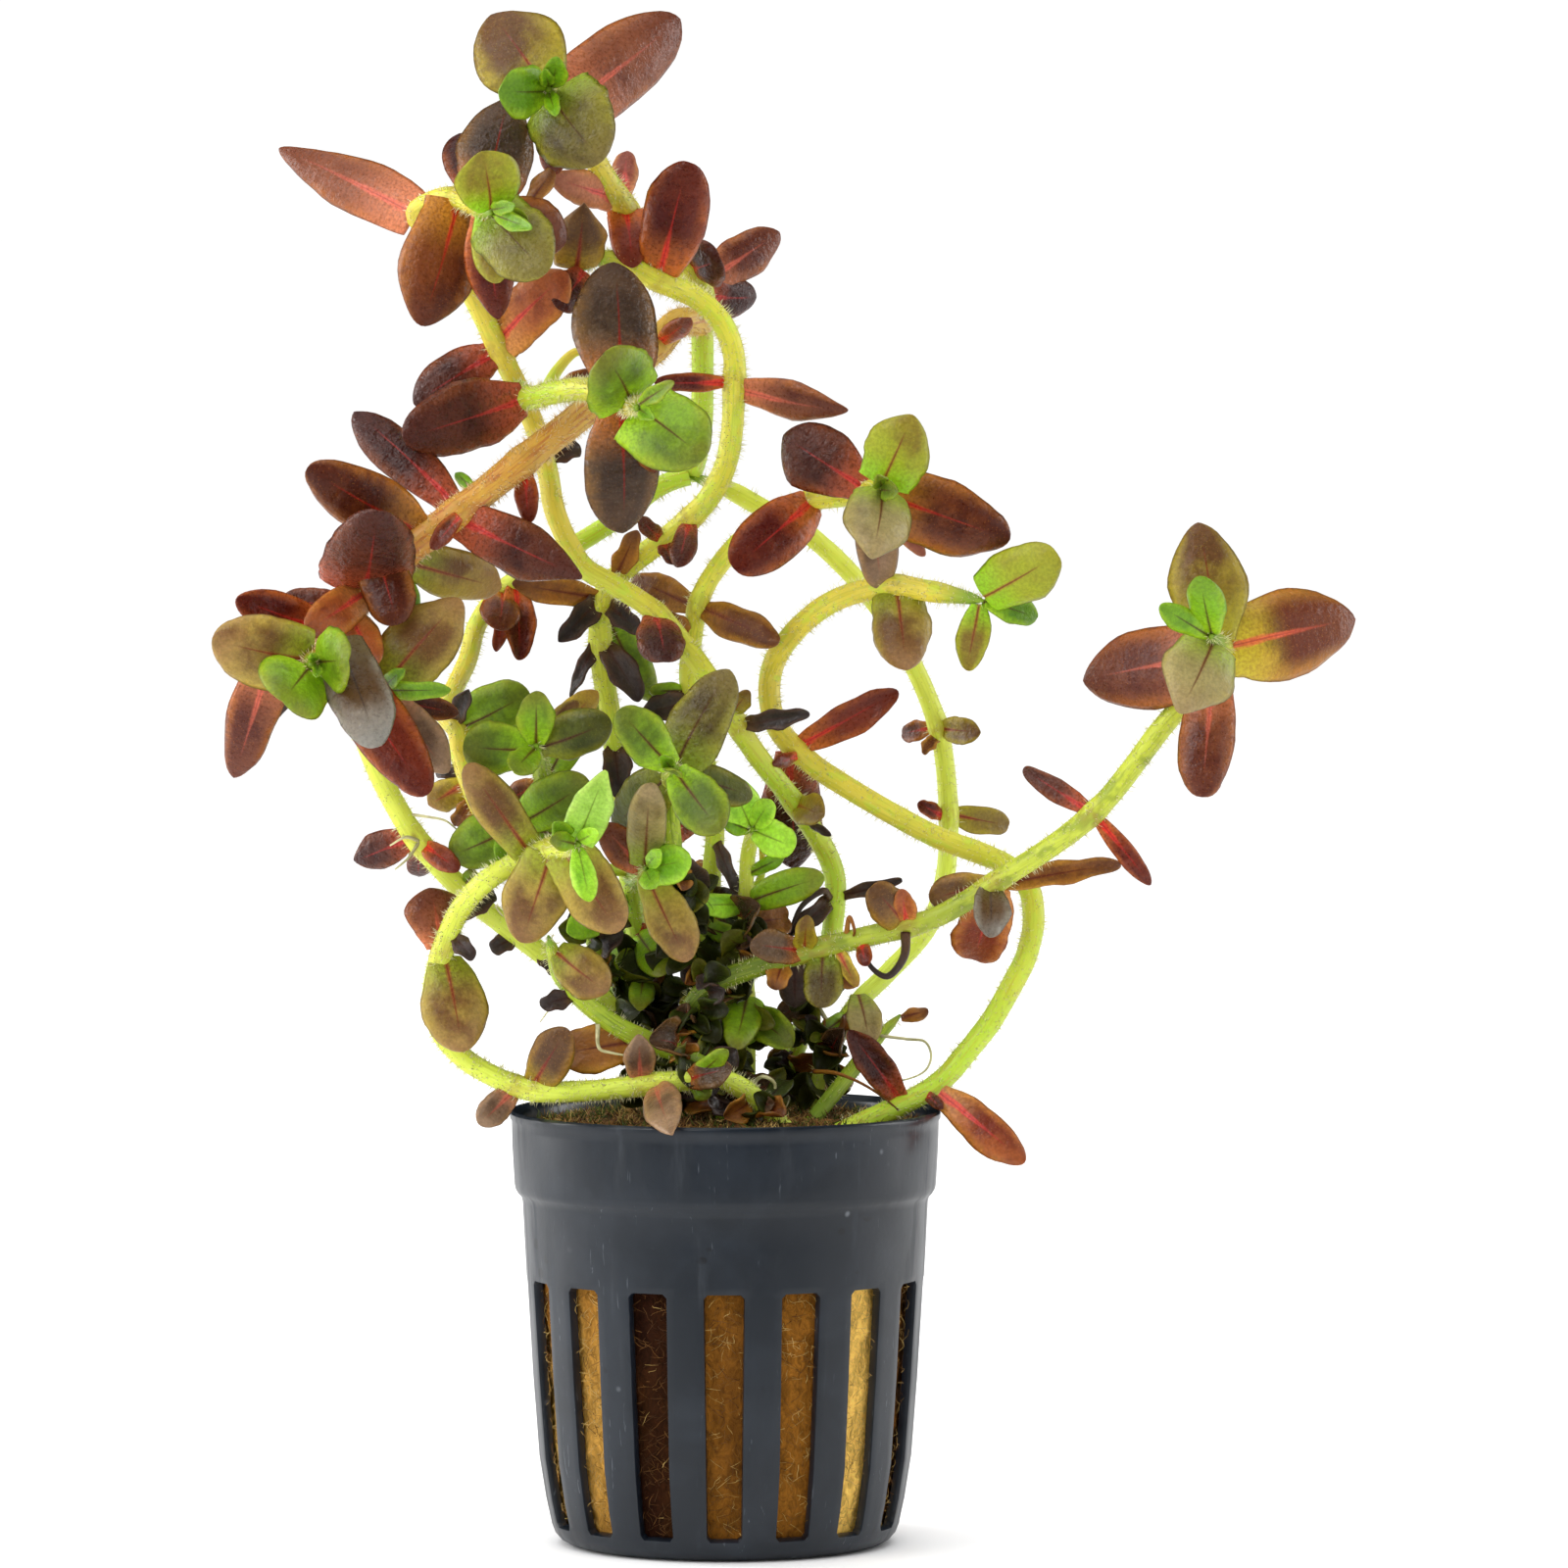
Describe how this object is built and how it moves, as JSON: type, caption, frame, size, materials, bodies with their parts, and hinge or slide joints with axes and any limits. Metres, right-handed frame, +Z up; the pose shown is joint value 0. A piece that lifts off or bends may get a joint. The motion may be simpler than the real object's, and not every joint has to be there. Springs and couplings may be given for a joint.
{
  "type": "potted bacopa aquarium plant",
  "caption": "Bunch of purple bacopa salzmannii: branching stems with paired oval leaves, rooted in a rockwool plug in a black slotted net pot.",
  "frame": {"origin": "centre of the pot's flat base", "axes": "+Z up along the pot's axis, -Y towards the plant's front, +X to the right as seen from the front"},
  "size_m": [0.1318, 0.0671, 0.181],
  "materials": {
    "pot": "dark slate satin moulding with water stains",
    "rockwool": "brown and golden mineral fibres, mossy on top",
    "lime_stem": "lime green, faintly ridged, finely haired",
    "tan_stem": "yellow tan, faintly ridged, finely haired",
    "olive_stem": "yellow olive, faintly ridged, finely haired",
    "green_leaf": "young leaf, vivid green with a red brown midrib",
    "olive_leaf": "olive leaf with golden speckles and a dark red midrib",
    "brown_leaf": "red brown leaf, glossy, with lighter margins",
    "purple_leaf": "purple brown leaf, glossy, with a mauve grey sheen",
    "red_leaf": "orange red leaf with a crimson midrib"
  },
  "bodies": {
    "root": {"net_pot": "pot", "rockwool_plug": "rockwool", "right_arch_stem": "lime_stem", "top_shoot_stem": "tan_stem", "left_arch_stem": "tan_stem", "tall_shoot_stem": "tan_stem", "hook_shoot_stem": "olive_stem", "diagonal_shoot_stem": "tan_stem", "front_shoot_stem": "olive_stem", "middle_shoot_stem": "olive_stem", "right_loop_stem": "olive_stem", "right_diagonal_stem": "olive_stem", "left_loop_stem": "lime_stem", "low_left_stem": "lime_stem", "left_stem": "lime_stem", "centre_left_stem": "lime_stem", "centre_stem": "lime_stem", "side_shoot_stem": "lime_stem", "bright_shoot_stem": "lime_stem", "cut_stub": "lime_stem", "top_upper_leaf": "olive_leaf", "top_front_leaf": "olive_leaf", "top_right_leaf": "purple_leaf", "upper_left_top_leaf": "brown_leaf", "upper_left_front_leaf": "green_leaf", "upper_left_lower_leaf": "olive_leaf", "far_left_top_leaf": "purple_leaf", "tall_shoot_red_leaf": "red_leaf", "tall_shoot_left_leaf": "purple_leaf", "hook_shoot_top_leaf": "red_leaf", "hook_shoot_right_leaf": "purple_leaf", "left_shoot_purple_leaf": "purple_leaf", "left_shoot_right_leaf": "purple_leaf", "left_shoot_upper_leaf": "brown_leaf", "left_shoot_round_leaf": "brown_leaf", "left_crown_left_leaf": "olive_leaf", "left_crown_right_leaf": "olive_leaf", "left_crown_lower_leaf": "red_leaf", "front_top_leaf": "brown_leaf", "front_lower_leaf": "brown_leaf", "front_left_leaf": "green_leaf", "front_right_leaf": "green_leaf", "front_shoot_purple_leaf": "purple_leaf", "middle_shoot_lower_leaf": "brown_leaf", "right_crown_left_leaf": "brown_leaf", "right_crown_top_leaf": "olive_leaf", "right_crown_front_leaf": "green_leaf", "right_crown_right_leaf": "brown_leaf", "right_shoot_curled_leaf": "olive_leaf", "right_shoot_tip_leaf": "olive_leaf", "right_loop_maroon_leaf": "purple_leaf", "far_right_top_leaf": "olive_leaf", "far_right_right_leaf": "red_leaf", "far_right_left_leaf": "purple_leaf", "far_right_front_leaf": "olive_leaf", "far_right_lower_leaf": "red_leaf", "left_loop_lower_leaf": "olive_leaf", "left_crown_big_leaf": "olive_leaf", "left_shoot_big_leaf": "olive_leaf", "centre_olive_leaf": "olive_leaf"}
  },
  "joints": []
}
